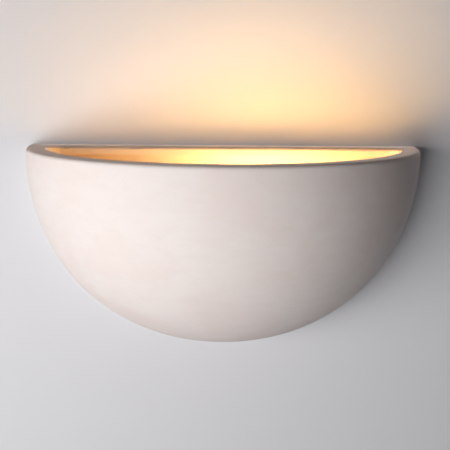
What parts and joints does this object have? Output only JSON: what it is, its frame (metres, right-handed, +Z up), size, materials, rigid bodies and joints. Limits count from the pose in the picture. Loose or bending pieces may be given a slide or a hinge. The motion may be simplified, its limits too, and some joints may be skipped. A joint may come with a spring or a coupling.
{
  "type": "half-bowl wall uplighter",
  "caption": "Half-bowl plaster wall uplighter: the shade hangs by keyholes on a steel plate that carries a sideways screw-cap lamp.",
  "frame": {"origin": "midway between the two wall fixing slots, on the wall plane", "axes": "+Z up, +Y into the wall, so the light stands out along -Y; +X to the right as seen from the room"},
  "size_m": [0.3, 0.15, 0.15],
  "materials": {
    "plaster": "matt",
    "zinc_steel": "satin",
    "brass": "satin",
    "white_moulding": "satin",
    "steatite": "matt",
    "clear_nylon": "satin",
    "fibre": "matt",
    "opal_glass": "frosted",
    "clear_glass": "clear",
    "black_glass": "gloss",
    "cap_metal": "satin",
    "solder": "dull",
    "hot_wire": "satin",
    "brown_sleeve": "satin",
    "blue_sleeve": "satin",
    "green_sleeve": "satin",
    "black_rubber": "matt"
  },
  "bodies": {
    "root": {"wall_plate": "zinc_steel", "shade_studs": "zinc_steel", "holder_bracket": "zinc_steel", "bracket_rivets": "zinc_steel", "threaded_nipple": "brass", "nipple_nut": "brass", "shakeproof_washer": "zinc_steel", "holder_cap": "white_moulding", "holder_insert": "steatite", "holder_skirt": "white_moulding", "screw_shell": "cap_metal", "centre_contact": "brass", "holder_terminals": "brass", "holder_terminal_screws": "zinc_steel", "terminal_block": "clear_nylon", "terminal_tubes": "brass", "terminal_screws": "zinc_steel", "block_screw": "zinc_steel", "live_wire": "brown_sleeve", "neutral_wire": "blue_sleeve", "earth_wire": "green_sleeve", "earth_screw": "brass", "earth_tag": "zinc_steel", "entry_bush": "black_rubber"},
    "shade": {"shade": "plaster"},
    "left_washer": {"left_nut_washer": "fibre"},
    "left_nut": {"left_thumb_nut": "brass"},
    "right_washer": {"right_nut_washer": "fibre"},
    "right_nut": {"right_thumb_nut": "brass"},
    "lamp_tip": {"lamp_tip_contact": "solder"},
    "lamp": {"lamp_glass": "opal_glass", "lamp_cap": "cap_metal", "lamp_insulator": "black_glass", "lamp_stem": "clear_glass", "lamp_supports": "solder", "lamp_filament": "hot_wire"}
  },
  "joints": [
    {"name": "shade_lift", "type": "slide", "parent": "root", "child": "shade", "axis": [0, 0, 1], "range_m": [0, 0.014]},
    {"name": "left_washer_slide", "type": "slide", "parent": "root", "child": "left_washer", "axis": [0, -1, 0], "range_m": [0, 0.0041]},
    {"name": "left_nut_turn", "type": "hinge", "parent": "left_washer", "child": "left_nut", "pos_m": [-0.098, -0.018, 0], "axis": [0, -1, 0], "range_deg": [0, 1800]},
    {"name": "right_washer_slide", "type": "slide", "parent": "root", "child": "right_washer", "axis": [0, -1, 0], "range_m": [0, 0.0041]},
    {"name": "right_nut_turn", "type": "hinge", "parent": "right_washer", "child": "right_nut", "pos_m": [0.098, -0.018, 0], "axis": [0, -1, 0], "range_deg": [0, 1800]},
    {"name": "lamp_screw_out", "type": "slide", "parent": "root", "child": "lamp_tip", "axis": [1, 0, 0], "range_m": [0, 0.011]},
    {"name": "lamp_turn", "type": "hinge", "parent": "lamp_tip", "child": "lamp", "pos_m": [-0.044, -0.053, -0.024], "axis": [1, 0, 0], "range_deg": [0, 1080]}
  ],
  "couplings": [
    {"joint": "left_washer_slide", "follows": "left_nut_turn", "m_per_rad": 0.00012732},
    {"joint": "right_washer_slide", "follows": "right_nut_turn", "m_per_rad": 0.00012732},
    {"joint": "lamp_screw_out", "follows": "lamp_turn", "m_per_rad": 0.00057757}
  ]
}
